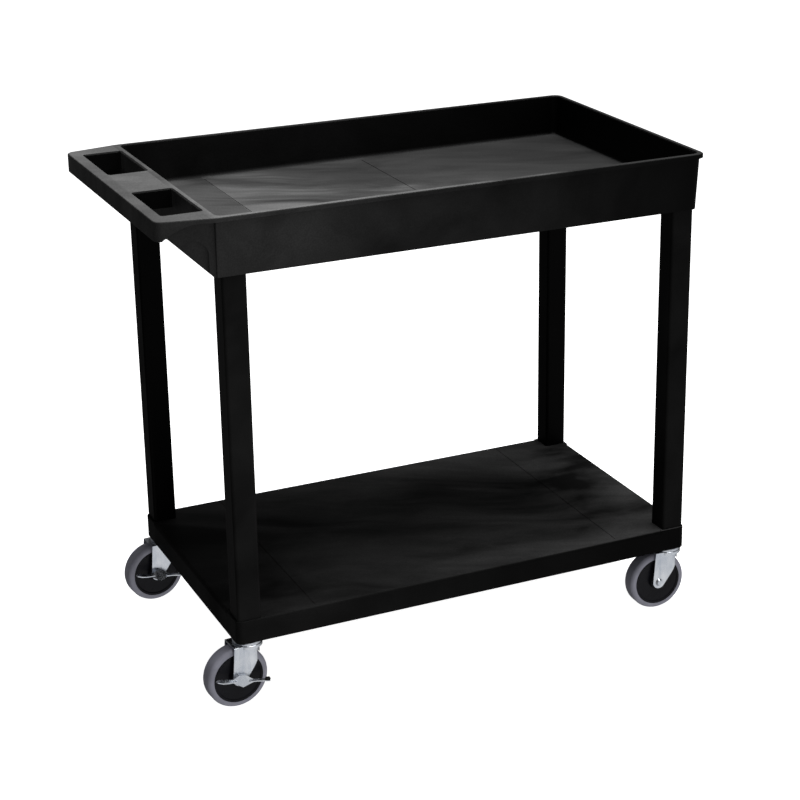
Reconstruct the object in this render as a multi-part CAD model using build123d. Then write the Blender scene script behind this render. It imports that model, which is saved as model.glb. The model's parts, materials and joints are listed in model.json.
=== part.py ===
from build123d import *

import math
import os

os.makedirs("parts", exist_ok=True)

# Food service trolley: a tub-topped cart with a moulded push handle, a flat lower shelf on four square legs
# and four swivel casters, two of them with a side brake.
# Millimetres. +Z up, floor at Z = 0. +X runs along the trolley, with the handle at the -X end, and -Y is
# the front. The origin is on the floor, under the middle of the whole trolley.

# Driving dimensions: heights above the floor
WHEEL_R = 50.0
CROWN_TOP = 104.0
SHELF_BOTTOM = 109.0
SHELF_TOP = 146.5
TUB_BOTTOM = 701.0
TRAY_FLOOR = 724.0
RIM_TOP = 792.0

# Driving dimensions: tub and handle
RIM_LENGTH = 813.0
RIM_WIDTH = 488.0
RIM_RADIUS = 17.0
RIM_EDGE = 2.4
LIP = 5.0
LIP_HEIGHT = 7.0
TUB_DRAFT = 3.75
TUB_WALL = 4.5
TRAY_PLATE = 4.5
TRAY_CORNER = 12.0
TRAY_FLOOR_EDGE = 6.0
HANDLE_REACH = 85.0
HANDLE_THICKNESS = 29.0
HANDLE_TAPER = 16.0
HANDLE_CORNER = 13.0
HAND_HOLE_LENGTH = 60.0
HAND_HOLE_WIDTH = 139.0
HAND_HOLE_RADIUS = 3.5
HAND_HOLE_Y = 128.5
END_BAR = 20.5
GUSSET_SETBACK = 11.0
GUSSET_THICKNESS = 7.0
GUSSET_RECESS = 3.5
END_WALL = 4.0

# Driving dimensions: lower shelf and legs
SHELF_LENGTH = 798.0
SHELF_WIDTH = 457.0
SHELF_RADIUS = 10.0
SHELF_WALL = 4.5
SHELF_PLATE = 5.0
SHELF_EDGE = 6.0
LEG = 38.5
LEG_WALL = 2.5
LEG_RADIUS = 4.5
LEG_INSET = 3.0
LEG_GAP = 0.3
COLLAR = 46.0
RIB = 3.2
SHELF_RIB_DEPTH = 12.0
TUB_RIB_DEPTH = 8.0
GROOVE_WIDTH = 1.8
GROOVE_DEPTH = 0.7
GROOVE_SPACING = 268.0
TRAY_GROOVES = (-GROOVE_SPACING, 12.0)
SHELF_GROOVES = (-GROOVE_SPACING, GROOVE_SPACING)

# Driving dimensions: casters. Each entry is the side along X, the side along Y, the turn in degrees that the
# caster was left at, and whether it has a brake. A caster at no turn trails towards the handle.
CASTERS = {
    "front_left": (-1, -1, 4.0, True),
    "rear_left": (-1, 1, 6.0, True),
    "front_right": (1, -1, -2.0, False),
    "rear_right": (1, 1, 3.0, False),
}
TRAIL = 22.0
SHEET = 2.2
FORK_HALF = 19.0
FORK_REAR = 29.0
FORK_END_R = 11.0
CROWN_R = 24.0
CROWN_LIP = 5.5
WHEEL_CLEARANCE = 1.8
STEM_R = 5.5
STEM_TOP = 152.0
RIVET_R = 8.0
RACE_R = 23.0
BALL_R = 2.0
BALL_RING_R = 15.5
BALL_COUNT = 18
BALL_GAP = 0.06
TYRE_WIDTH = 28.0
DISC_R = 41.0
HUB_R = 13.0
BOLT_R = 4.0
SLEEVE_R = 6.5
RUNNING_GAP = 0.08
BRAKE_ARM = 45.0
BRAKE_SHEET = 1.8
BRAKE_STAND = 4.2
BRAKE_CREST = 9.4
BRAKE_FACE_SLOPE = 64.0
BRAKE_WING_SLOPE = 16.0
BRAKE_TILT = 12.0

# Worked out from the driving dimensions
BASE_X = HANDLE_REACH / 2  # the handle's overhang moves the base off the middle of the overall length
HALF_RIM = RIM_LENGTH / 2
WALL_LENGTH = RIM_LENGTH - 2 * LIP
WALL_WIDTH = RIM_WIDTH - 2 * LIP
FOOT_LENGTH = WALL_LENGTH - 2 * TUB_DRAFT
FOOT_WIDTH = WALL_WIDTH - 2 * TUB_DRAFT
HANDLE_END = HALF_RIM + HANDLE_REACH
HANDLE_WALL_X = -HALF_RIM + 1.0
HANDLE_BOTTOM = RIM_TOP - HANDLE_THICKNESS
LEG_X = SHELF_LENGTH / 2 - LEG_INSET - LEG / 2
LEG_Y = SHELF_WIDTH / 2 - LEG_INSET - LEG / 2
POCKET = LEG + 2 * LEG_GAP
POCKET_FLOOR = SHELF_BOTTOM + 8.0
LEG_TOP = TRAY_FLOOR - TRAY_PLATE - 0.5
BALL_Z = CROWN_TOP + 1.2
GRIP_Z = STEM_TOP - 12.0
SQUARE_CORNERS = [(sx, sy) for sx in (-1, 1) for sy in (-1, 1)]


def prism(outline, z0, z1):
    """An outline drawn on the floor plane, as a solid from z0 up to z1."""
    return Pos(0, 0, z0) * extrude(outline, amount=z1 - z0)


def rounded_block(length, width, radius, z0, z1, x=0.0, y=0.0):
    return Pos(x, y, 0) * prism(RectangleRounded(length, width, radius), z0, z1)


def drafted_block(bottom, top, z0, z1):
    """A block whose sides lean. bottom and top are each (length, width, corner radius)."""
    lower = Pos(0, 0, z0) * RectangleRounded(*bottom)
    upper = Pos(0, 0, z1) * RectangleRounded(*top)
    return loft(Sketch() + [lower, upper])


def side_view(face, half_width):
    """A face drawn in X and Z, as a solid reaching half_width to each side of Y = 0."""
    return extrude(Plane.XZ * face, amount=half_width, both=True)


def polygon(*points):
    return make_face(Polyline(*points, close=True))


def grooves(places, z, width):
    """The shallow cross lines moulded in a top surface."""
    line = Box(GROOVE_WIDTH, width, 2 * GROOVE_DEPTH)
    return [Pos(x, 0, z) * line for x in places]


def rib_grid(x_places, y_places, length, width, z0, z1):
    cross = [Pos(x, 0, (z0 + z1) / 2) * Box(RIB, width, z1 - z0) for x in x_places]
    along = [Pos(0, y, (z0 + z1) / 2) * Box(length, RIB, z1 - z0) for y in y_places]
    return cross + along


def save(part, name):
    part.label = name
    export_step(part, f"parts/{name}.step")


# ---------------------------------------------------------------- top tub shelf with its handle


def rim_outline(inset=0.0):
    """Plan of the rim and handle as one shape: a rounded rectangle whose handle end tapers in."""
    half = RIM_WIDTH / 2 - inset
    tip = half - HANDLE_TAPER
    end = HANDLE_END - inset
    right = HALF_RIM - inset
    bend = -HALF_RIM
    face = polygon((-end, -tip), (bend, -half), (right, -half), (right, half), (bend, half), (-end, tip))
    face = fillet(face.vertices().group_by(Axis.X)[-1], max(RIM_RADIUS - inset, 1.0))
    face = fillet(face.vertices().group_by(Axis.X)[0], HANDLE_CORNER)
    bends = [v for v in face.vertices() if abs(v.X - bend) < 1]
    return fillet(bends, 60.0)


def handle_side_view():
    """Side view of the handle: full depth at its end, thinning in a hollow curve to the rim's lip."""
    end = -HANDLE_END - 1
    lip_bottom = RIM_TOP - LIP_HEIGHT
    curve_start = (-HANDLE_END + 9, HANDLE_BOTTOM)
    curve_mid = (-HALF_RIM - 42, lip_bottom - 3)
    curve_end = (-HALF_RIM + 3, lip_bottom)
    over = RIM_TOP + 1
    straight = Polyline(curve_end, (curve_end[0], over), (end, over), (end, HANDLE_BOTTOM), curve_start)
    return make_face([*straight.edges(), ThreePointArc(curve_start, curve_mid, curve_end)])


def handle_block():
    """The handle as a solid slab, its outer sides hollowed, before the hand holes are cut."""
    under_rim = RIM_TOP - RIM_EDGE - 0.5
    sides = prism(rim_outline(), HANDLE_BOTTOM, under_rim) & side_view(handle_side_view(), RIM_WIDTH)
    core = prism(rim_outline(GUSSET_SETBACK), HANDLE_BOTTOM, under_rim)
    core &= Pos(-HANDLE_END, 0, RIM_TOP) * Box(2 * HANDLE_REACH + 4, RIM_WIDTH, 4 * HANDLE_THICKNESS)
    return sides + core


def gussets():
    """Thin side plates from under the handle down to the foot of the tub, each with a round-topped recess."""
    rise = 4.0
    start = -HANDLE_END + 20
    foot = HANDLE_WALL_X - 3
    lean = (foot - start) / (HANDLE_BOTTOM - TUB_BOTTOM)
    inside = HANDLE_WALL_X + 8
    top = HANDLE_BOTTOM + rise
    view = polygon((inside, TUB_BOTTOM), (inside, top), (start - lean * rise, top), (foot, TUB_BOTTOM))
    plates = prism(rim_outline(GUSSET_SETBACK), TUB_BOTTOM, top)
    plates -= prism(rim_outline(GUSSET_SETBACK + GUSSET_THICKNESS), TUB_BOTTOM, top)
    plates &= side_view(view, RIM_WIDTH)
    bend = math.degrees(math.atan2(HANDLE_TAPER, HANDLE_REACH - GUSSET_SETBACK))
    back = 30.0
    face_y = RIM_WIDTH / 2 - GUSSET_SETBACK - back * math.tan(math.radians(bend))
    for side in (-1, 1):
        outline = Circle(22) + Pos(0, -20) * Rectangle(44, 40)
        recess = Rot(0, 0, side * bend) * extrude(Plane.XZ * outline, amount=GUSSET_RECESS, both=True)
        plates -= Pos(-HALF_RIM - back, side * face_y, HANDLE_BOTTOM - 28) * recess
    return plates


def square_end():
    """The tub's end under the handle: upright and square, so that the gussets run on from its corners."""
    foot = (-2 * HANDLE_WALL_X, FOOT_WIDTH, 1)
    top = (-2 * HANDLE_WALL_X, WALL_WIDTH, 1)
    whole = drafted_block(foot, top, TUB_BOTTOM, RIM_TOP - LIP_HEIGHT / 2)
    return whole & Pos(HANDLE_WALL_X, 0, TRAY_FLOOR) * Box(50, RIM_WIDTH, RIM_TOP)


def tray_cavity():
    """The room inside the tub, with a rounded floor edge and a small chamfer at the rim."""
    right = WALL_LENGTH / 2 - TUB_WALL
    left = HANDLE_WALL_X + END_WALL
    inner_length = right - left
    inner_width = WALL_WIDTH - 2 * TUB_WALL
    narrowing = 2 * TUB_DRAFT * (RIM_TOP - TRAY_FLOOR) / (RIM_TOP - TUB_BOTTOM)
    bottom = (inner_length - narrowing, inner_width - narrowing, TRAY_CORNER - 2)
    cavity = drafted_block(bottom, (inner_length, inner_width, TRAY_CORNER), TRAY_FLOOR, RIM_TOP + 1)
    cavity = fillet(cavity.edges().group_by(Axis.Z)[0], TRAY_FLOOR_EDGE)
    mouth = (inner_length + 3, inner_width + 3, TRAY_CORNER + 1.5)
    cavity += drafted_block((inner_length, inner_width, TRAY_CORNER), mouth, RIM_TOP - 1.5, RIM_TOP)
    return Pos((left + right) / 2, 0, 0) * cavity


def hand_hole(side):
    """One of the two through holes in the handle, flared a little at the top."""
    size = (HAND_HOLE_LENGTH, HAND_HOLE_WIDTH, HAND_HOLE_RADIUS)
    flare = (HAND_HOLE_LENGTH + 4, HAND_HOLE_WIDTH + 4, HAND_HOLE_RADIUS + 2)
    hole = rounded_block(*size, HANDLE_BOTTOM - 1, RIM_TOP + 1)
    hole += drafted_block(size, flare, RIM_TOP - 2, RIM_TOP)
    return Pos(-HANDLE_END + END_BAR + HAND_HOLE_LENGTH / 2, side * HAND_HOLE_Y, 0) * hole


def tub_underside():
    """What is hollow under the tray floor: everything inside the walls but the ribs and leg collars."""
    ceiling = TRAY_FLOOR - TRAY_PLATE
    room = rounded_block(FOOT_LENGTH - 2 * TUB_WALL, FOOT_WIDTH - 2 * TUB_WALL, 8, TUB_BOTTOM - 1, ceiling)
    places_x = [k * GROOVE_SPACING / 2 for k in (-2, -1, 0, 1, 2)]
    places_y = [-115, 0, 115]
    rib_foot = ceiling - TUB_RIB_DEPTH
    for rib in rib_grid(places_x, places_y, FOOT_LENGTH, FOOT_WIDTH, rib_foot, ceiling + 1):
        room -= rib
    for sx, sy in SQUARE_CORNERS:
        room -= rounded_block(COLLAR, COLLAR, 4, TUB_BOTTOM, ceiling + 1, sx * LEG_X, sy * LEG_Y)
    for sx, sy in SQUARE_CORNERS:
        room += rounded_block(POCKET, POCKET, LEG_RADIUS, TUB_BOTTOM - 1, ceiling, sx * LEG_X, sy * LEG_Y)
    return room


def top_tub_shelf():
    foot = (FOOT_LENGTH, FOOT_WIDTH, 11)
    body = drafted_block(foot, (WALL_LENGTH, WALL_WIDTH, 13), TUB_BOTTOM, RIM_TOP - LIP_HEIGHT / 2)
    rim = prism(rim_outline(), RIM_TOP - LIP_HEIGHT, RIM_TOP)
    rim = fillet(rim.edges().group_by(Axis.Z)[-1], RIM_EDGE)
    body = body + square_end() + rim + handle_block() + gussets()
    body -= tray_cavity()
    body -= tub_underside()
    for side in (-1, 1):
        body -= hand_hole(side)
    middle_bar_x = -HANDLE_END + END_BAR + HAND_HOLE_LENGTH / 2
    body -= rounded_block(HAND_HOLE_LENGTH, 104, 4, HANDLE_BOTTOM - 1, RIM_TOP - 6, middle_bar_x)
    for groove in grooves(TRAY_GROOVES, TRAY_FLOOR, FOOT_WIDTH - 40):
        body -= groove
    return Pos(BASE_X, 0, 0) * body


# ---------------------------------------------------------------- lower shelf and legs


def bottom_shelf():
    block = rounded_block(SHELF_LENGTH, SHELF_WIDTH, SHELF_RADIUS, SHELF_BOTTOM, SHELF_TOP)
    body = fillet(block.edges().group_by(Axis.Z)[-1], SHELF_EDGE)
    collar_stock = fillet(block.edges().group_by(Axis.Z)[-1], 1.2)
    ceiling = SHELF_TOP - SHELF_PLATE
    room = rounded_block(
        SHELF_LENGTH - 2 * SHELF_WALL, SHELF_WIDTH - 2 * SHELF_WALL, 8, SHELF_BOTTOM - 1, ceiling
    )
    places_x = [k * GROOVE_SPACING / 2 for k in (-2, -1, 0, 1, 2)]
    places_y = [-110, 0, 110]
    rib_foot = ceiling - SHELF_RIB_DEPTH
    for rib in rib_grid(places_x, places_y, SHELF_LENGTH, SHELF_WIDTH, rib_foot, ceiling + 1):
        room -= rib
    for sx, sy in SQUARE_CORNERS:
        room -= rounded_block(COLLAR, COLLAR, 4, SHELF_BOTTOM, ceiling + 1, sx * LEG_X, sy * LEG_Y)
    body -= room
    for groove in grooves(SHELF_GROOVES, SHELF_TOP, SHELF_WIDTH - 16):
        body -= groove
    for sx, sy in SQUARE_CORNERS:
        x, y = sx * LEG_X, sy * LEG_Y
        body += collar_stock & Pos(x, y, SHELF_TOP) * Box(COLLAR, COLLAR, 4 * (SHELF_TOP - POCKET_FLOOR) / 3)
        body -= rounded_block(POCKET, POCKET, LEG_RADIUS, POCKET_FLOOR, SHELF_TOP + 1, x, y)
        body -= Pos(x, y, SHELF_BOTTOM) * Cylinder(STEM_R + 0.7, 30)
    return Pos(BASE_X, 0, 0) * body


def leg(sx, sy):
    tube = rounded_block(LEG, LEG, LEG_RADIUS, POCKET_FLOOR, LEG_TOP)
    bore = LEG - 2 * LEG_WALL
    tube -= rounded_block(bore, bore, LEG_RADIUS - LEG_WALL, POCKET_FLOOR - 1, LEG_TOP + 1)
    return Pos(BASE_X + sx * LEG_X, sy * LEG_Y, 0) * tube


def stem_socket():
    """Square plug in the foot of a leg, bored for the caster's stem."""
    side = LEG - 2 * LEG_WALL - 0.4
    plug = rounded_block(side, side, 2.2, POCKET_FLOOR, STEM_TOP + 6)
    return plug - Pos(0, 0, POCKET_FLOOR) * Cylinder(STEM_R + 0.2, 2 * (STEM_TOP + 2 - POCKET_FLOOR))


# ---------------------------------------------------------------- caster pieces, swivel axis on X = Y = 0


def turned(profile):
    """A profile in radius and height, turned about the swivel axis."""
    return revolve(Plane.XZ * profile, axis=Axis.Z)


def about_axle(solid, y=0.0):
    """Moves a solid made about the Y axis to the wheel's axle."""
    return Pos(-TRAIL, y, WHEEL_R) * solid


def axle_ring(outer, inner, y0, y1):
    """A ring or tube about the axle, from y0 to y1 across the caster."""
    ring = Cylinder(outer, y1 - y0) - Cylinder(inner, y1 - y0)
    return about_axle(Rot(90, 0, 0) * ring, (y0 + y1) / 2)


def ball_track():
    return Pos(0, 0, BALL_Z) * Torus(BALL_RING_R, BALL_R + BALL_GAP)


def stem():
    """Kingpin and stem in one: riveted over under the crown, up through the races into the socket."""
    rivet = polygon(
        (0, CROWN_TOP - 4.7),
        (RIVET_R - 1.5, CROWN_TOP - 4.7),
        (RIVET_R, CROWN_TOP - 3.6),
        (RIVET_R, CROWN_TOP - SHEET - 0.3),
        (0, CROWN_TOP - SHEET - 0.3),
    )
    foot = CROWN_TOP - 4
    body = turned(rivet) + Pos(0, 0, (foot + STEM_TOP) / 2) * Cylinder(STEM_R, STEM_TOP - foot)
    body = chamfer(body.edges().group_by(Axis.Z)[-1], 1.2)
    return body - Pos(0, 0, GRIP_Z) * (Cylinder(STEM_R + 1, 2.4) - Cylinder(STEM_R - 0.9, 2.4))


def grip_ring():
    """Split spring ring that holds the stem in its socket."""
    ring = Cylinder(STEM_R + 0.15, 2.0) - Cylinder(STEM_R - 0.8, 2.0)
    return Pos(0, 0, GRIP_Z) * (ring - Pos(STEM_R, 0, 0) * Box(4, 1.5, 4))


def race_cup():
    """Fixed upper race: a pressed cup over the balls."""
    top = SHELF_BOTTOM - 0.2
    underside = BALL_Z + 1.1
    skirt = CROWN_TOP + 0.5
    profile = polygon(
        (STEM_R + 0.05, underside),
        (RACE_R - 2.4, underside),
        (RACE_R - 2.4, skirt),
        (RACE_R, skirt),
        (RACE_R, top - 2.2),
        (RACE_R - 0.8, top - 0.8),
        (RACE_R - 2.4, top),
        (STEM_R + 0.05, top),
    )
    return turned(profile) - ball_track()


def balls():
    first = Pos(BALL_RING_R, 0, BALL_Z) * Sphere(BALL_R)
    return Part() + [Rot(0, 0, 360 * k / BALL_COUNT) * first for k in range(BALL_COUNT)]


def fork_plan(half, rear):
    """Plan of the fork: straight sides behind the swivel axis, half a circle in front of it."""
    return Pos(-rear / 2, 0) * Rectangle(rear, 2 * half) + Circle(half)


def crown_dish(radius, z0, z1):
    """The round, rolled edge of the crown, as a disc."""
    disc = Pos(0, 0, (z0 + z1) / 2) * Cylinder(radius, z1 - z0)
    return fillet(disc.edges().group_by(Axis.Z)[-1], 2.0)


def fork():
    """One pressing: a round crown, and two legs folded down from it that taper to round ends at the axle."""
    outer = prism(fork_plan(FORK_HALF, FORK_REAR + 8), WHEEL_R - FORK_END_R, CROWN_TOP)
    outer = fillet(outer.edges().group_by(Axis.Z)[-1].filter_by(lambda e: e.center().X > -FORK_REAR), 1.2)
    outer += crown_dish(CROWN_R, CROWN_TOP - CROWN_LIP, CROWN_TOP)
    inner = prism(fork_plan(FORK_HALF - SHEET, FORK_REAR + 9), 0, CROWN_TOP - SHEET)
    inner += crown_dish(CROWN_R - SHEET, CROWN_TOP - CROWN_LIP - 1, CROWN_TOP - SHEET)
    top = Polyline((-FORK_REAR, CROWN_TOP), (CROWN_R, CROWN_TOP), (CROWN_R, CROWN_TOP - 9), close=True)
    side = make_hull([*top.edges(), (Pos(-TRAIL, WHEEL_R) * Circle(FORK_END_R)).edge()])
    body = (outer - inner) & side_view(side, CROWN_R + 5)
    wheel_arch = Cylinder(WHEEL_R + WHEEL_CLEARANCE, 2 * (FORK_HALF - SHEET) - 0.4)
    body -= about_axle(Rot(90, 0, 0) * wheel_arch)
    body -= Pos(0, 0, CROWN_TOP) * Cylinder(STEM_R + RUNNING_GAP, 3 * SHEET)
    body -= about_axle(Rot(90, 0, 0) * Cylinder(BOLT_R + 0.1, 4 * FORK_HALF))
    return body - ball_track()


def axle_sleeve():
    reach = FORK_HALF - SHEET
    return axle_ring(SLEEVE_R, BOLT_R + 0.06, -reach, reach)


def axle_bolt(braked):
    """Round-headed bolt through the fork. On a braked caster its head also holds the lever."""
    head_start = -FORK_HALF - (BRAKE_SHEET + 0.6 if braked else 0)
    shank_end = FORK_HALF + 9
    dome = Pos(0, 0, -head_start) * Cone(6.8, 4.2, 3.2, align=(Align.CENTER, Align.CENTER, Align.MIN))
    shank = Pos(0, 0, -(head_start + shank_end) / 2) * Cylinder(BOLT_R, shank_end - head_start)
    return about_axle(Rot(90, 0, 0) * (dome + shank))


def axle_nut():
    """Lock nut: a hexagon with a round collar."""
    hexagon = Rot(90, 0, 0) * extrude(RegularPolygon(7.5, 6), amount=-5.5)
    collar = Pos(0, 6.5, 0) * Rot(90, 0, 0) * Cylinder(5.6, 2)
    nut = hexagon + collar - Rot(90, 0, 0) * Cylinder(BOLT_R, 30)
    return about_axle(nut, FORK_HALF)


def wheel_core():
    """Solid wheel disc: a rim for the tyre, a shallow dished web and a hub bored to run on the sleeve."""
    half_hub = FORK_HALF - SHEET - 0.7
    half_rim = TYRE_WIDTH / 2 - 0.8
    half = [
        (SLEEVE_R + RUNNING_GAP, half_hub),
        (HUB_R - 1, half_hub),
        (HUB_R, half_hub - 1),
        (HUB_R + 1.5, half_rim - 3.2),
        (DISC_R - 4.5, half_rim - 1.4),
        (DISC_R - 3.0, half_rim),
        (DISC_R, half_rim),
    ]
    mirrored = [(radius, -y) for radius, y in reversed(half)]
    return about_axle(revolve(polygon(*half, *mirrored), axis=Axis.Y))


def tyre():
    """Soft grey tyre with rounded shoulders."""
    band = Pos((DISC_R + WHEEL_R) / 2, 0) * Rectangle(WHEEL_R - DISC_R, TYRE_WIDTH)
    band = fillet(band.vertices().group_by(Axis.X)[-1], 6.5)
    return about_axle(revolve(band, axis=Axis.Y))


def lever_plane(height, slope):
    """A plane just outside the bolt's head that leans outwards and down, at a height above the axle."""
    lean = math.radians(slope)
    origin = (-TRAIL, -FORK_HALF - 0.4 - BRAKE_SHEET - BRAKE_STAND, WHEEL_R + height)
    return Plane(origin=origin, x_dir=(1, 0, 0), z_dir=(0, -math.sin(lean), math.cos(lean)))


WING_PLANE = lever_plane(BRAKE_CREST - 5.3, BRAKE_WING_SLOPE)


def tilted(piece):
    """Turns a piece about the axle to the lever's released place."""
    return about_axle(Rot(0, BRAKE_TILT, 0) * Pos(TRAIL, 0, -WHEEL_R) * piece)


def brake_lever():
    """Pressed lever: a washer plate on the axle bolt, a bridge over the bolt's head, a kite-shaped face
    folded down from it, and a foot wing and a thin arm to the sides."""
    back = -FORK_HALF - 0.3
    washer = axle_ring(10.0, BOLT_R + 0.06, back - BRAKE_SHEET, back)
    reach = BRAKE_STAND + BRAKE_SHEET
    bridge_z = WHEEL_R + BRAKE_CREST - BRAKE_SHEET / 2
    bridge = Pos(-TRAIL, back - reach / 2, bridge_z) * Box(12, reach, BRAKE_SHEET)
    kite = polygon((-6, 0), (6, 0), (22, -9), (0, -18), (-22, -9))
    wing = polygon(
        (-11, -1.5),
        (-28, -0.5),
        (-BRAKE_ARM + 5, 0),
        (-BRAKE_ARM, -2.5),
        (-BRAKE_ARM + 2, -6),
        (-BRAKE_ARM + 10, -8.5),
        (-24, -8.5),
        (-11, -6),
    )
    arm = polygon((11, -2), (BRAKE_ARM, -2), (BRAKE_ARM, -8), (24, -6.5), (11, -7.5))
    face = lever_plane(BRAKE_CREST, BRAKE_FACE_SLOPE) * extrude(kite, amount=-BRAKE_SHEET)
    wings = WING_PLANE * extrude(wing + arm, amount=-BRAKE_SHEET)
    return tilted(washer + bridge + face + wings)


def brake_pad():
    """Black pad on the lever's press end."""
    pad = rounded_block(8, 6, 2, 0, 4)
    return tilted(WING_PLANE * Pos(BRAKE_ARM - 4, -5, 0) * chamfer(pad.edges().group_by(Axis.Z)[-1], 0.8))


# ---------------------------------------------------------------- write the sub-parts

save(top_tub_shelf(), "top_tub_shelf")
save(bottom_shelf(), "bottom_shelf")

rings = []
for place, (sx, sy, turn, braked) in CASTERS.items():
    at_corner = Pos(BASE_X + sx * LEG_X, sy * LEG_Y, 0)
    turned_caster = at_corner * Rot(0, 0, turn)
    rings.append(at_corner * grip_ring())
    fixed = {"stem_socket": stem_socket(), "caster_stem": stem(), "race_cup": race_cup()}
    turning = {
        "fork": fork(),
        "race_balls": balls(),
        "axle_sleeve": axle_sleeve(),
        "axle_bolt": axle_bolt(braked),
        "axle_nut": axle_nut(),
        "wheel_core": wheel_core(),
        "tyre": tyre(),
    }
    if braked:
        turning["brake_lever"] = brake_lever()
        turning["brake_pad"] = brake_pad()
    save(leg(sx, sy), f"leg_{place}")
    for name, piece in fixed.items():
        save(at_corner * piece, f"{name}_{place}")
    for name, piece in turning.items():
        save(turned_caster * piece, f"{name}_{place}")

save(Part() + rings, "stem_grip_rings")
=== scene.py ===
import json
import math

import bpy
from mathutils import Matrix, Vector

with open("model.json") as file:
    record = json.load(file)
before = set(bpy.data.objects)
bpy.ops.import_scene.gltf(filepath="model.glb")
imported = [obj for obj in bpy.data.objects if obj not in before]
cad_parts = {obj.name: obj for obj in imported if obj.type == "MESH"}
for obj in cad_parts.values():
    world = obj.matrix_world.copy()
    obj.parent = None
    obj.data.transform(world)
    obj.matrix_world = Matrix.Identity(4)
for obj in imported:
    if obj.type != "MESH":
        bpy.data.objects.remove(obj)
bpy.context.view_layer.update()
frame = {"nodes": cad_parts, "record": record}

# The camera stands off the trolley's front left corner and looks down along it.
CAMERA_PLACE = Vector((-1.240, -2.847, 1.563))
CAMERA_YAW = math.radians(25.44)  # from +Y towards +X
CAMERA_PITCH = math.radians(-19.83)
CAMERA_ROLL = math.radians(-0.46)
CAMERA_LENS = 90.5
CAMERA_SHIFT = (-0.062, -0.052)

# The studio: a dim room, brightest low in front, a large light overhead and a small one for highlights.
ROOM_DIM = 0.11
ROOM_BRIGHT = 0.75
ROOM_BRIGHT_TOWARDS = (0.30, -0.86, -0.42)
OVERHEAD_PLACE = (0.4, -0.1, 3.0)
OVERHEAD_SIZE = (1.8, 1.4)
OVERHEAD_POWER = 90.0
SPARKLE_PLACE = (1.1, -1.0, 2.5)
SPARKLE_SIZE = (1.0, 0.5)
SPARKLE_POWER = 8.0
FLOOR_GLOW = 0.98
FLOOR_REACH = 30.0

# Places on the tub where its material paints light and shade, in metres from the row's origin.
HOLES_X = (-0.428, -0.369)
HOLES_Y = (0.055, 0.2)
END_BAR_X = (-0.434, -0.424)
TRAY_END_X = (-0.372, -0.362)
GRIP_HALF_Y = (0.056, 0.066)
SHADED_CORNER_X = (-0.37, -0.2265)
# How much painted top light the handle's outer bars and its grip get.
OUTER_BAR_TOP_LIGHT = 0.62
GRIP_TOP_LIGHT = 0.82

NODES = frame["nodes"]


# ---------------------------------------------------------------- material building blocks


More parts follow.
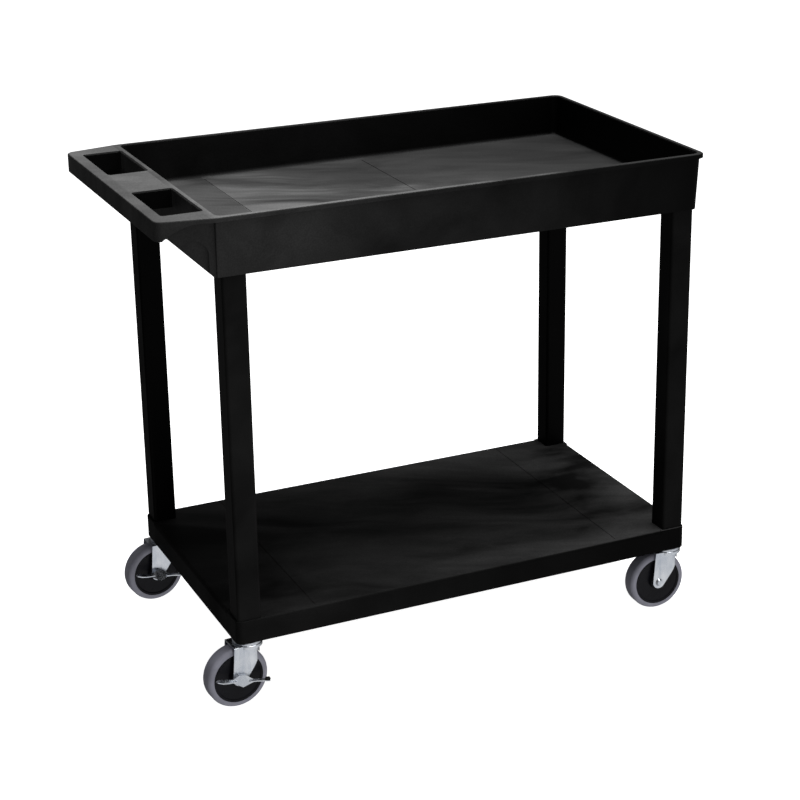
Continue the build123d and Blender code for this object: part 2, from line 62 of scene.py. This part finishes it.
class Shader:
    """A material's node tree, with short calls for the few nodes that the materials here are made of."""

    def __init__(self, name):
        self.material = bpy.data.materials.new(name)
        self.material.use_nodes = True
        self.tree = self.material.node_tree
        self.surface = self.tree.nodes["Principled BSDF"]
        coordinates = self.tree.nodes.new("ShaderNodeTexCoord")
        self.place = coordinates.outputs["Object"]

    def link(self, source, target):
        self.tree.links.new(source, target)

    def stretched(self, scale, turn=(0, 0, 0), vector=None):
        """The object's own coordinates, or the given ones, stretched and turned."""
        mapping = self.tree.nodes.new("ShaderNodeMapping")
        mapping.inputs["Scale"].default_value = scale
        mapping.inputs["Rotation"].default_value = turn
        self.link(vector or self.place, mapping.inputs["Vector"])
        return mapping.outputs["Vector"]

    def shifted(self, value, amount):
        """The object's own coordinates, pushed along by a value."""
        node = self.tree.nodes.new("ShaderNodeVectorMath")
        node.operation = "MULTIPLY_ADD"
        self.link(value, node.inputs[0])
        node.inputs[1].default_value = (amount, -amount, amount)
        self.link(self.place, node.inputs[2])
        return node.outputs["Vector"]

    def axis(self, name):
        """One of the object's own coordinates."""
        node = self.tree.nodes.new("ShaderNodeSeparateXYZ")
        self.link(self.place, node.inputs["Vector"])
        return node.outputs[name]

    def facing_up(self):
        """1 on a face that looks straight up, 0 on an upright one."""
        geometry = self.tree.nodes.new("ShaderNodeNewGeometry")
        node = self.tree.nodes.new("ShaderNodeSeparateXYZ")
        self.link(geometry.outputs["Normal"], node.inputs["Vector"])
        return node.outputs["Z"]

    def facing_in(self):
        """1 on an upright face that looks towards the middle of the trolley, 0 on one that looks away."""
        geometry = self.tree.nodes.new("ShaderNodeNewGeometry")
        flat = self.tree.nodes.new("ShaderNodeVectorMath")
        flat.operation = "MULTIPLY"
        self.link(self.place, flat.inputs[0])
        flat.inputs[1].default_value = (1.0, 1.0, 0.0)
        dot = self.tree.nodes.new("ShaderNodeVectorMath")
        dot.operation = "DOT_PRODUCT"
        self.link(flat.outputs["Vector"], dot.inputs[0])
        self.link(geometry.outputs["Normal"], dot.inputs[1])
        return self.map_range(dot.outputs["Value"], -0.05, 0.0, 1.0, 0.0)

    def within(self, value, low, high):
        """1 where a value lies between two limits, 0 elsewhere."""
        node = self.tree.nodes.new("ShaderNodeMath")
        node.operation = "COMPARE"
        self.link(value, node.inputs[0])
        node.inputs[1].default_value = (low + high) / 2
        node.inputs[2].default_value = (high - low) / 2
        return node.outputs["Value"]

    def grey(self, value):
        node = self.tree.nodes.new("ShaderNodeCombineColor")
        for channel in ("Red", "Green", "Blue"):
            self.link(value, node.inputs[channel])
        return node.outputs["Color"]

    def noise(self, scale, detail=4, distortion=0.0, vector=None, roughness=0.5):
        node = self.tree.nodes.new("ShaderNodeTexNoise")
        node.inputs["Scale"].default_value = scale
        node.inputs["Detail"].default_value = detail
        node.inputs["Distortion"].default_value = distortion
        node.inputs["Roughness"].default_value = roughness
        self.link(vector or self.place, node.inputs["Vector"])
        return node.outputs["Fac"]

    def map_range(self, value, low, high, to_low, to_high, curve="LINEAR"):
        node = self.tree.nodes.new("ShaderNodeMapRange")
        node.interpolation_type = curve
        for name, number in (("From Min", low), ("From Max", high), ("To Min", to_low), ("To Max", to_high)):
            node.inputs[name].default_value = number
        self.link(value, node.inputs["Value"])
        return node.outputs["Result"]

    def ramp(self, value, stops):
        """Colours along a value. stops is a list of (place, (r, g, b))."""
        node = self.tree.nodes.new("ShaderNodeValToRGB")
        ends = node.color_ramp.elements
        while len(ends) < len(stops):
            ends.new(0.5)
        for element, (place, colour) in zip(ends, stops):
            element.position = place
            element.color = (*colour, 1.0)
        self.link(value, node.inputs["Fac"])
        return node.outputs["Color"]

    def combine(self, operation, first, second):
        """Math on two values. Either may be a number."""
        node = self.tree.nodes.new("ShaderNodeMath")
        node.operation = operation
        for socket, value in zip(node.inputs, (first, second)):
            if isinstance(value, (int, float)):
                socket.default_value = value
            else:
                self.link(value, socket)
        return node.outputs["Value"]

    def bump(self, height, strength, distance, under=None):
        node = self.tree.nodes.new("ShaderNodeBump")
        node.inputs["Strength"].default_value = strength
        node.inputs["Distance"].default_value = distance
        self.link(height, node.inputs["Height"])
        if under is not None:
            self.link(under, node.inputs["Normal"])
        return node.outputs["Normal"]

    def sharp_edge_mask(self, radius):
        """1 on sharp outer edges and 0 on flats."""
        bevel = self.tree.nodes.new("ShaderNodeBevel")
        bevel.inputs["Radius"].default_value = radius
        geometry = self.tree.nodes.new("ShaderNodeNewGeometry")
        dot = self.tree.nodes.new("ShaderNodeVectorMath")
        dot.operation = "DOT_PRODUCT"
        self.link(bevel.outputs["Normal"], dot.inputs[0])
        self.link(geometry.outputs["Normal"], dot.inputs[1])
        return self.map_range(dot.outputs["Value"], 0.75, 1.0, 1.0, 0.0)

    def finish(self, colour=None, roughness=None, normal=None, **plain):
        """Joins the worked-out inputs to the surface and sets the plain ones."""
        for name, value in (("Base Color", colour), ("Roughness", roughness), ("Normal", normal)):
            if value is not None:
                self.link(value, self.surface.inputs[name])
        for name, number in plain.items():
            self.surface.inputs[name.replace("_", " ")].default_value = number
        return self.material


def foam_skin(s):
    """What both foam mouldings share: soft clouds of flow marks, the skin's fine grain, and their bump."""
    bent = s.shifted(s.noise(2.2, 2, 0.3), 0.30)
    turned = s.stretched((1.0, 1.0, 1.0), (0, 0, 0.42), bent)
    drift = s.noise(3.2, 4, 0.5, s.stretched((0.8, 2.0, 1.0), vector=turned), 0.5)
    streak = s.noise(7.0, 5, 0.5, s.stretched((0.6, 2.6, 1.0), vector=turned), 0.6)
    grain = s.noise(420.0, 3)
    flow = s.combine("ADD", s.combine("MULTIPLY", drift, 0.65), s.combine("MULTIPLY", streak, 0.35))
    speckle = s.map_range(grain, 0.3, 0.7, 0.84, 1.16)
    normal = s.bump(flow, 0.08, 0.0010, s.bump(grain, 0.22, 0.0003))
    return flow, speckle, normal


def tub_plastic():
    """Black structural foam. The tray floor and the grip carry painted top light, grey and patterned by the
    flow marks, strongest at the handle end and along the front;
    the upright faces carry painted shade that fades them to black away from the handle, and the hand holes,
    inward-facing walls and the tray's back corner are painted darker as shade."""
    s = Shader("tub_plastic")
    flow, speckle, normal = foam_skin(s)
    along = s.axis("X")
    across = s.axis("Y")
    off_middle = s.combine("ABSOLUTE", across, 0.0)
    reach = s.combine("ADD", s.combine("MULTIPLY", along, -1.0), s.combine("MULTIPLY", across, -0.8))
    swayed = s.combine("ADD", reach, s.map_range(flow, 0.3, 0.7, -0.18, 0.18))
    # Painted light: a gradient that brightens the tray towards the handle end and the front.
    painted_light_towards_handle = s.map_range(swayed, -0.10, 0.20, 0.24, 1.0, "SMOOTHSTEP")
    in_tray = s.map_range(along, *TRAY_END_X, OUTER_BAR_TOP_LIGHT, 1.0)
    in_grip = s.map_range(along, *END_BAR_X, OUTER_BAR_TOP_LIGHT, 1.0)
    in_middle = s.map_range(off_middle, *GRIP_HALF_Y, GRIP_TOP_LIGHT, OUTER_BAR_TOP_LIGHT)
    place = s.combine("MAXIMUM", in_tray, s.combine("MINIMUM", in_grip, in_middle))
    # Painted shade: the back corner of the tray by the handle is painted darker.
    in_back = s.map_range(across, -0.05, 0.0, 0.0, 1.0)
    back_corner_shade = s.combine("MULTIPLY", s.within(along, *SHADED_CORNER_X), in_back)
    place = s.combine("MULTIPLY", place, s.map_range(back_corner_shade, 0.0, 1.0, 1.0, 0.55))
    # Painted top light: the up-facing tray floor and grip are painted grey as if lit from above, patterned by
    # the flow marks.
    painted_top_light = s.combine("MULTIPLY", s.map_range(flow, 0.36, 0.62, 0.065, 0.135), place)
    upward = s.map_range(s.facing_up(), 0.75, 0.98, 0.0, 1.0)
    amount = s.combine("MULTIPLY", s.combine("MULTIPLY", painted_top_light, painted_light_towards_handle), upward)
    # Painted shade: the random mottle is darkened away from the handle end, as the light falls off.
    shade_fade = s.map_range(along, -0.449, 0.42, 2.1, 0.05)
    mottle_and_shade = s.combine("MULTIPLY", s.map_range(flow, 0.36, 0.62, 0.005, 0.020), shade_fade)
    # Painted shade: the hand holes and the inward-facing walls are painted near black.
    hole_shade = s.combine("MULTIPLY", s.within(along, *HOLES_X), s.within(off_middle, *HOLES_Y))
    inner_shade = s.combine("MAXIMUM", s.combine("MULTIPLY", s.facing_in(), 0.8), hole_shade)
    mottle_and_shade = s.combine("MULTIPLY", mottle_and_shade, s.map_range(inner_shade, 0.0, 1.0, 1.0, 0.05))
    tone = s.combine("MULTIPLY", s.combine("ADD", mottle_and_shade, amount), speckle)
    roughness = s.map_range(flow, 0.3, 0.7, 0.58, 0.44)
    return s.finish(s.grey(tone), roughness, normal, IOR=1.45, Specular_IOR_Level=0.05)


def shelf_plastic():
    """Black structural foam of the lower shelf, with fainter painted top light that shows most away from the
    handle, and painted shade that darkens its tone away from the handle end.
    """
    s = Shader("shelf_plastic")
    flow, speckle, normal = foam_skin(s)
    along = s.axis("X")
    # Painted top light on the shelf's up-facing top, strongest away from the handle, patterned by the flow
    # marks.
    lit = s.map_range(along, -0.35, 0.35, 0.15, 1.3)
    painted_top_light = s.combine("MULTIPLY", s.map_range(flow, 0.38, 0.62, 0.004, 0.046), lit)
    upward = s.map_range(s.facing_up(), 0.75, 0.98, 0.0, 1.0)
    amount = s.combine("MULTIPLY", painted_top_light, upward)
    # Painted shade: the mottle darkens away from the handle end.
    shade_fade = s.map_range(along, -0.36, 0.36, 1.4, 0.2)
    mottle_and_shade = s.combine("MULTIPLY", s.map_range(flow, 0.36, 0.62, 0.002, 0.008), shade_fade)
    tone = s.combine("MULTIPLY", s.combine("ADD", mottle_and_shade, amount), speckle)
    roughness = s.map_range(flow, 0.3, 0.7, 0.60, 0.46)
    return s.finish(s.grey(tone), roughness, normal, IOR=1.45, Specular_IOR_Level=0.035)


def leg_plastic():
    """Black extruded tube with faint draw lines along it, a little lighter in tone at the front and handle
    side.
    """
    s = Shader("leg_plastic")
    lines = s.noise(140.0, 3, 0.0, s.stretched((1.0, 1.0, 0.01)))
    patch = s.noise(12.0, 4, 0.5)
    nearness = s.combine("ADD", s.axis("Y"), s.combine("MULTIPLY", s.axis("X"), 0.25))
    # The tone is lighter towards the front and the handle side.
    towards_front = s.map_range(nearness, -0.25, 0.1, 1.0, 0.1)
    leg_tone = s.combine("MULTIPLY", s.map_range(patch, 0.3, 0.7, 0.005, 0.012), towards_front)
    roughness = s.map_range(patch, 0.3, 0.7, 0.38, 0.5)
    return s.finish(s.grey(leg_tone), roughness, s.bump(lines, 0.15, 0.0003), IOR=1.45, Specular_IOR_Level=0.03)


def moulded_black(name, tint, low, high):
    """Small black mouldings: sockets, pads and wheel discs."""
    s = Shader(name)
    patch = s.noise(60.0, 4, 0.3)
    grain = s.noise(1400.0, 2)
    colour = s.ramp(patch, [(0.3, tuple(0.7 * c for c in tint)), (0.7, tint)])
    roughness = s.map_range(patch, 0.3, 0.7, low, high)
    return s.finish(colour, roughness, s.bump(grain, 0.15, 0.00015), Specular_IOR_Level=0.12)


def zinc_steel():
    """Bright zinc plate: a slightly bluish metal with faint streaks down it, and a painted highlight on its
    sharp edges.
    """
    s = Shader("zinc_steel")
    cloud = s.noise(45.0, 4, 0.8)
    streak = s.noise(150.0, 3, 0.3, s.stretched((1.0, 1.0, 0.12)))
    # Painted highlight: sharp edges are painted brighter.
    edge_glint = s.sharp_edge_mask(0.0004)
    mixed = s.combine("ADD", s.combine("MULTIPLY", cloud, 0.4), s.combine("MULTIPLY", streak, 0.45))
    tone = s.combine("ADD", mixed, s.combine("MULTIPLY", edge_glint, 0.08))
    stops = [(0.25, (0.48, 0.52, 0.59)), (0.45, (0.66, 0.69, 0.74)), (0.7, (0.90, 0.92, 0.95))]
    colour = s.ramp(tone, stops)
    roughness = s.map_range(streak, 0.3, 0.7, 0.20, 0.34)
    return s.finish(colour, roughness, s.bump(streak, 0.03, 0.0002), Metallic=1.0)


def ball_steel():
    """Polished balls under a thin film of grease."""
    s = Shader("ball_steel")
    film = s.noise(500.0, 3)
    colour = s.ramp(film, [(0.3, (0.55, 0.55, 0.57)), (0.7, (0.72, 0.72, 0.74))])
    return s.finish(colour, s.map_range(film, 0.3, 0.7, 0.08, 0.2), Metallic=1.0)


def tyre_grey():
    """Soft grey tyre, a little scuffed and dusty."""
    s = Shader("tyre_grey")
    leg_tone = s.noise(45.0, 5, 0.6)
    grain = s.noise(1100.0, 3)
    colour = s.ramp(leg_tone, [(0.3, (0.23, 0.23, 0.28)), (0.7, (0.31, 0.31, 0.37))])
    return s.finish(colour, s.map_range(leg_tone, 0.3, 0.7, 0.5, 0.66), s.bump(grain, 0.2, 0.0002))


MATERIALS = {
    "foam_plastic": tub_plastic(),
    "leg_plastic": leg_plastic(),
    "socket_nylon": moulded_black("socket_nylon", (0.02, 0.02, 0.02), 0.45, 0.6),
    "zinc_steel": zinc_steel(),
    "ball_steel": ball_steel(),
    "core_plastic": moulded_black("core_plastic", (0.006, 0.006, 0.009), 0.22, 0.34),
    "tyre_grey": tyre_grey(),
    "pad_rubber": moulded_black("pad_rubber", (0.012, 0.012, 0.012), 0.5, 0.65),
}


def paint_frame():
    """Each CAD node gets the material of its slot in the record, and the lower shelf its own foam."""
    for row in frame["record"]["subparts"]:
        mesh = NODES[row["node"]].data
        mesh.materials.clear()
        mesh.materials.append(MATERIALS[row["material_slot"]])
    NODES["bottom_shelf"].data.materials[0] = shelf_plastic()


# ---------------------------------------------------------------- stage


def floor():
    """A pale plane that glows a little. It lights nothing, and nothing mirrors it."""
    mesh = bpy.data.meshes.new("floor")
    corners = [(x * FLOOR_REACH, y * FLOOR_REACH, 0) for x, y in ((-1, -1), (1, -1), (1, 1), (-1, 1))]
    mesh.from_pydata(corners, [], [(0, 1, 2, 3)])
    plane = bpy.data.objects.new("floor", mesh)
    bpy.context.scene.collection.objects.link(plane)
    s = Shader("floor")
    pale = s.noise(0.8, 2)
    colour = s.ramp(pale, [(0.0, (0.90, 0.90, 0.90)), (1.0, (0.94, 0.94, 0.94))])
    s.surface.inputs["Emission Color"].default_value = (1.0, 1.0, 1.0, 1.0)
    roughness = s.map_range(pale, 0.0, 1.0, 0.6, 0.7)
    mesh.materials.append(s.finish(colour, roughness, Emission_Strength=FLOOR_GLOW))
    plane.visible_glossy = False
    plane.visible_diffuse = False
    plane.visible_shadow = False


def area_light(name, place, aim, size, power):
    light = bpy.data.lights.new(name, "AREA")
    light.shape = "RECTANGLE"
    light.size, light.size_y = size
    light.energy = power
    lamp = bpy.data.objects.new(name, light)
    lamp.location = place
    lamp.rotation_mode = "QUATERNION"
    lamp.rotation_quaternion = (Vector(aim) - Vector(place)).to_track_quat("-Z", "Y")
    bpy.context.scene.collection.objects.link(lamp)


def studio():
    """Soft light from overhead, a small light for highlights, and the dim room."""
    scene = bpy.context.scene
    scene.view_settings.view_transform = "Standard"
    world = bpy.data.worlds.new("studio")
    scene.world = world
    world.use_nodes = True
    tree = world.node_tree
    direction = tree.nodes.new("ShaderNodeTexCoord").outputs["Generated"]
    towards = tree.nodes.new("ShaderNodeVectorMath")
    towards.operation = "DOT_PRODUCT"
    towards.inputs[1].default_value = Vector(ROOM_BRIGHT_TOWARDS).normalized()
    tree.links.new(direction, towards.inputs[0])
    glow = tree.nodes.new("ShaderNodeMapRange")
    glow.interpolation_type = "SMOOTHSTEP"
    glow.inputs["From Min"].default_value = -0.1
    glow.inputs["From Max"].default_value = 0.95
    glow.inputs["To Min"].default_value = ROOM_DIM
    glow.inputs["To Max"].default_value = ROOM_BRIGHT
    tree.links.new(towards.outputs["Value"], glow.inputs["Value"])
    background = tree.nodes["Background"]
    background.inputs["Color"].default_value = (1.0, 1.0, 1.0, 1.0)
    tree.links.new(glow.outputs["Result"], background.inputs["Strength"])
    area_light("overhead", OVERHEAD_PLACE, (0, 0, 0.7), OVERHEAD_SIZE, OVERHEAD_POWER)
    area_light("sparkle", SPARKLE_PLACE, (0, 0, 0.3), SPARKLE_SIZE, SPARKLE_POWER)


def camera():
    forward = Vector(
        (
            math.sin(CAMERA_YAW) * math.cos(CAMERA_PITCH),
            math.cos(CAMERA_YAW) * math.cos(CAMERA_PITCH),
            math.sin(CAMERA_PITCH),
        )
    )
    level = Vector((math.cos(CAMERA_YAW), -math.sin(CAMERA_YAW), 0))
    right = level * math.cos(CAMERA_ROLL) + level.cross(forward) * math.sin(CAMERA_ROLL)
    up = right.cross(forward)
    lens = bpy.data.cameras.new("camera")
    lens.lens = CAMERA_LENS
    lens.shift_x, lens.shift_y = CAMERA_SHIFT
    eye = bpy.data.objects.new("camera", lens)
    turn = Matrix((right, up, -forward)).transposed().to_4x4()
    eye.matrix_world = Matrix.Translation(CAMERA_PLACE) @ turn
    bpy.context.scene.collection.objects.link(eye)
    bpy.context.scene.camera = eye


paint_frame()
floor()
studio()
camera()
